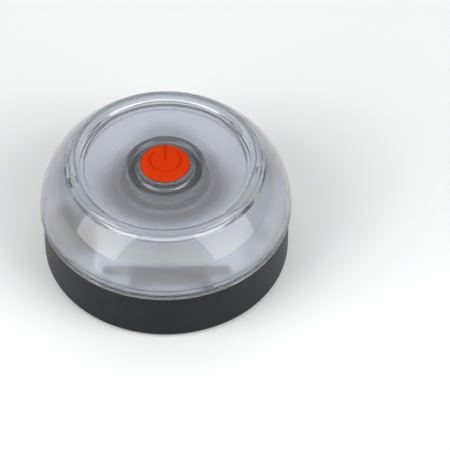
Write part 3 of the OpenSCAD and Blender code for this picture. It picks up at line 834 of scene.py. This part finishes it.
# ---- Button ----
# A soft-touch orange cap with a debossed power sign snaps onto a dark carrier, which slides in the
# lens's collar. A black rubber cup under the lens seals it and pushes it back up.

dress(moulded("orange_cap", colour=(0.58, 0.032, 0.0), roughness=0.7, grain_size=0.2 * mm,
              grain_depth=0.3, gloss=0.08), "button_cap")
dress(moulded("carrier_abs", colour=(0.012, 0.0125, 0.015), roughness=0.4), "button_carrier")

boot_low, boot_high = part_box("button_boot")
boot_hem = boot_high.z - 0.8 * mm
lip_top = boot_high.z - 2.9 * mm
boot_floor = boot_high.z - 4 * mm
cup_top = boot_high.z - 3.4 * mm
boot_neck = 7 * mm
boot_lip = boot_neck + 0.9 * mm
cup_in = bore_r + 1.2 * mm
cup_out = cup_in + 0.7 * mm


# Even steps between two values, both ends included
def steps_between(first, last, count=12):
    return [first + (last - first) * i / count for i in range(count + 1)]


# Half section of the rubber cup: a lip round the neck, a thin wall, and a flange under the lens
def boot_outline():
    lip = [(boot_neck, lip_top), (boot_neck, boot_low.z), (boot_lip, boot_low.z),
           (boot_lip, boot_floor)]
    wall_out = [(cup_out, level) for level in steps_between(boot_floor, boot_hem)]
    flange = [(boot_high.x, boot_hem), (boot_high.x, boot_high.z)]
    wall_in = [(cup_in, level) for level in steps_between(boot_high.z, cup_top)]
    return lip + wall_out + flange + wall_in + [(boot_lip, cup_top), (boot_lip, lip_top)]


boot_rubber = moulded("boot_rubber", colour=(0.025, 0.025, 0.028), roughness=0.7,
                      grain_size=0.4 * mm, grain_depth=0.3)
boot = grow("boot", turned_piece, None, "boot_rubber",
            outline_mesh("boot_outline", boot_outline()), Segments=96, Material=boot_rubber)
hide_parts("button_boot")
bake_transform(boot)

# ---- Studio ----
# A pale matt floor, a large softbox at either side of the front, a broad one high at the back, and
# a room that is bright overhead, softly lit in front and dark low down behind.

pale_floor, floor_tree, pale_surface = new_material("pale_floor")
feed(floor_tree, pale_surface, {"Base Color": (0.86, 0.86, 0.86, 1), "Roughness": 0.9,
                                "Specular IOR Level": 0.1})
# seen from below the floor lets the camera through, so that the underside can be looked at
facing_away = add(floor_tree, "ShaderNodeNewGeometry").outputs["Backfacing"]
from_camera = add(floor_tree, "ShaderNodeLightPath").outputs["Is Camera Ray"]
from_below = add(floor_tree, "ShaderNodeMath", {0: facing_away, 1: from_camera},
                 operation="MULTIPLY")
clear = add(floor_tree, "ShaderNodeBsdfTransparent")
either = add(floor_tree, "ShaderNodeMixShader", {0: from_below.outputs[0],
                                                 1: pale_surface.outputs[0], 2: clear.outputs[0]})
feed(floor_tree, floor_tree.nodes["Material Output"], {"Surface": either.outputs[0]})
floor_half = 2.0
floor_corners = [(x * floor_half, y * floor_half, 0)
                 for x, y in ((-1, -1), (1, -1), (1, 1), (-1, 1))]
floor_mesh = bpy.data.meshes.new("floor")
floor_mesh.from_pydata(floor_corners, [], [(0, 1, 2, 3)])
floor_mesh.materials.append(pale_floor)
floor = bpy.data.objects.new("floor", floor_mesh)
bpy.context.scene.collection.objects.link(floor)
target = Vector((0, 0, 35 * mm))


# A lamp that looks at the middle of the dome
def softbox(name, direction, distance, width, height, power):
    data = bpy.data.lights.new(name, "AREA")
    data.shape = "RECTANGLE"
    data.size = width
    data.size_y = height
    data.energy = power
    lamp = bpy.data.objects.new(name, data)
    lamp.location = target + Vector(direction).normalized() * distance
    lamp.rotation_euler = (target - lamp.location).to_track_quat("-Z", "Y").to_euler()
    bpy.context.scene.collection.objects.link(lamp)


for side, sign in (("right", 1), ("left", -1)):
    softbox(side + "_softbox", direction=(sign * 0.765, -0.441, 0.47), distance=0.9, width=0.7,
            height=0.9, power=7.4)
softbox("back_softbox", direction=(0, 0.6, 1), distance=1.1, width=1.2, height=0.7, power=1.8)

world = bpy.data.worlds.new("studio")
bpy.context.scene.world = world
world.use_nodes = True
room = world.node_tree
look = add(room, "ShaderNodeTexCoord").outputs["Generated"]
sides = add(room, "ShaderNodeSeparateXYZ", {0: look}).outputs
overhead = add(room, "ShaderNodeMapRange", {"Value": sides["Z"], "From Min": 0.45,
                                            "From Max": 0.85, "To Min": 0.05, "To Max": 0.5})
in_front = add(room, "ShaderNodeMapRange", {"Value": sides["Y"], "From Min": 0.1,
                                            "From Max": -0.5, "To Max": 0.5})
brightest = add(room, "ShaderNodeMath", {0: overhead.outputs["Result"],
                                         1: in_front.outputs["Result"]}, operation="MAXIMUM")
feed(room, room.nodes["Background"], {"Color": (0.97, 0.985, 1, 1),
                                      "Strength": brightest.outputs[0]})

tilt = math.radians(48.5)
distance = 1.4395
off_centre_right, off_centre_down = 22.65 * mm, 7.8 * mm
toward = Vector((0, -math.cos(tilt), math.sin(tilt)))
upward = Vector((0, math.sin(tilt), math.cos(tilt)))
aim = Vector((off_centre_right, 0, seam)) - upward * off_centre_down
camera_data = bpy.data.cameras.new("camera")
camera_data.lens = 300
camera = bpy.data.objects.new("camera", camera_data)
camera.location = aim + toward * distance
camera.rotation_euler = (-toward).to_track_quat("-Z", "Y").to_euler()
bpy.context.scene.collection.objects.link(camera)
bpy.context.scene.camera = camera
bpy.context.scene.view_settings.view_transform = "Standard"
